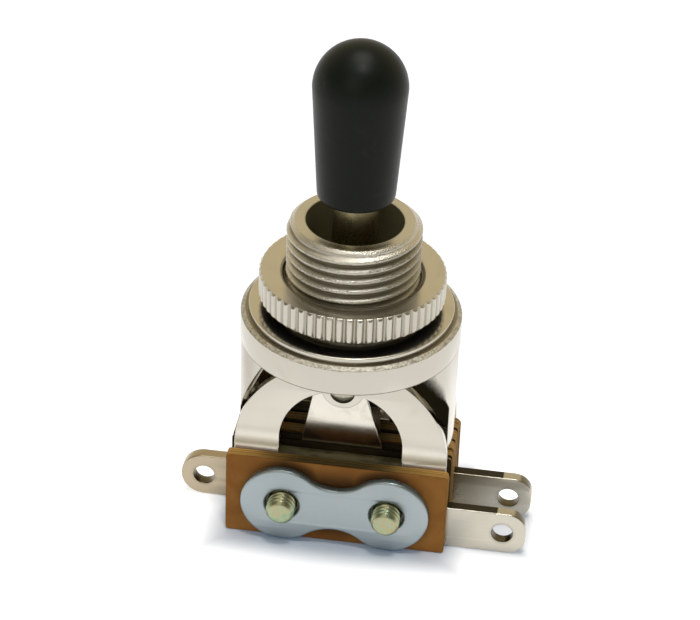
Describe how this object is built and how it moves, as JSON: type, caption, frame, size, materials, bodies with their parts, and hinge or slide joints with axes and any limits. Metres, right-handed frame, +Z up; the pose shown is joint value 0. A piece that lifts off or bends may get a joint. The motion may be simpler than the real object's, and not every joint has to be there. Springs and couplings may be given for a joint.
{
  "type": "guitar pickup selector switch",
  "caption": "Panel-mount toggle selector switch with a threaded bushing, knurled nut, black tapered lever cap, arched legs and a leaf-spring stack with solder lugs.",
  "frame": {"origin": "on the bushing axis at the top face of the housing, where the panel rests", "axes": "+Z up along the bushing and lever toward the cap, +X toward the side with two solder lugs, -Y toward the side where the clamp screw ends stand out"},
  "size_m": [0.0326, 0.0198, 0.048],
  "materials": {
    "nickel_plate": "bright nickel plate over stamped steel and brass, fine wear",
    "nickel_terminal": "nickel-plated brass, satin",
    "zinc_plate": "clear blue zinc plate, fine grain",
    "screw_chromate": "yellow and green iridescent chromate on steel",
    "phenolic": "brown laminated phenolic sheet, pale layered edges",
    "leaf_spring": "nickel silver spring strip, bright",
    "silver_contact": "silver contact rivet",
    "brass_inner": "plain brass, satin",
    "black_cap": "black moulded plastic, semi-gloss",
    "clear_tube": "pale insulating tube",
    "white_roller": "white nylon, satin"
  },
  "bodies": {
    "switch_body": {"housing_cup": "nickel_plate", "leg_bracket": "nickel_plate", "bushing": "nickel_plate", "flat_washer": "nickel_plate", "pivot_pin": "brass_inner", "clamp_plate_front": "zinc_plate", "insulator_front_outer": "phenolic", "insulator_front_inner": "phenolic", "terminal_front": "nickel_terminal", "insulator_leg_front": "phenolic", "blade_outer_front": "leaf_spring", "insulator_contact_front": "phenolic", "blade_inner_front": "leaf_spring", "terminal_common": "nickel_terminal", "spacer_common": "phenolic", "blade_inner_rear": "leaf_spring", "insulator_contact_rear": "phenolic", "terminal_rear": "nickel_terminal", "spacer_rear": "phenolic", "blade_outer_rear": "leaf_spring", "insulator_leg_rear": "phenolic", "insulator_leg_rear_2": "phenolic", "insulator_rear_outer": "phenolic", "clamp_plate_rear": "zinc_plate", "contact_outer_front": "silver_contact", "contact_inner_front": "silver_contact", "contact_inner_rear": "silver_contact", "contact_outer_rear": "silver_contact", "link_eyelet": "brass_inner", "stop_stud_front": "nickel_plate", "stop_stud_rear": "nickel_plate", "bracket_rivet_left": "nickel_plate", "bracket_rivet_right": "nickel_plate", "screw_left": "screw_chromate", "screw_right": "screw_chromate", "insulating_tube_left": "clear_tube", "insulating_tube_right": "clear_tube"},
    "nut": {"knurled_nut": "nickel_plate"},
    "lever": {"lever_shaft": "nickel_plate", "tip_cap": "black_cap", "roller_axle": "brass_inner"},
    "roller": {"roller": "white_roller"}
  },
  "joints": [
    {"name": "toggle", "type": "hinge", "parent": "switch_body", "child": "lever", "pos_m": [0, 0, 0.0009], "axis": [1, 0, 0], "range_deg": [-9, 9]},
    {"name": "nut_run", "type": "slide", "parent": "switch_body", "child": "nut", "axis": [0, 0, 1], "range_m": [-0.0009, 0.0043]},
    {"name": "roller_spin", "type": "hinge", "parent": "lever", "child": "roller", "pos_m": [0, 0, -0.0082], "axis": [1, 0, 0], "continuous": true}
  ]
}
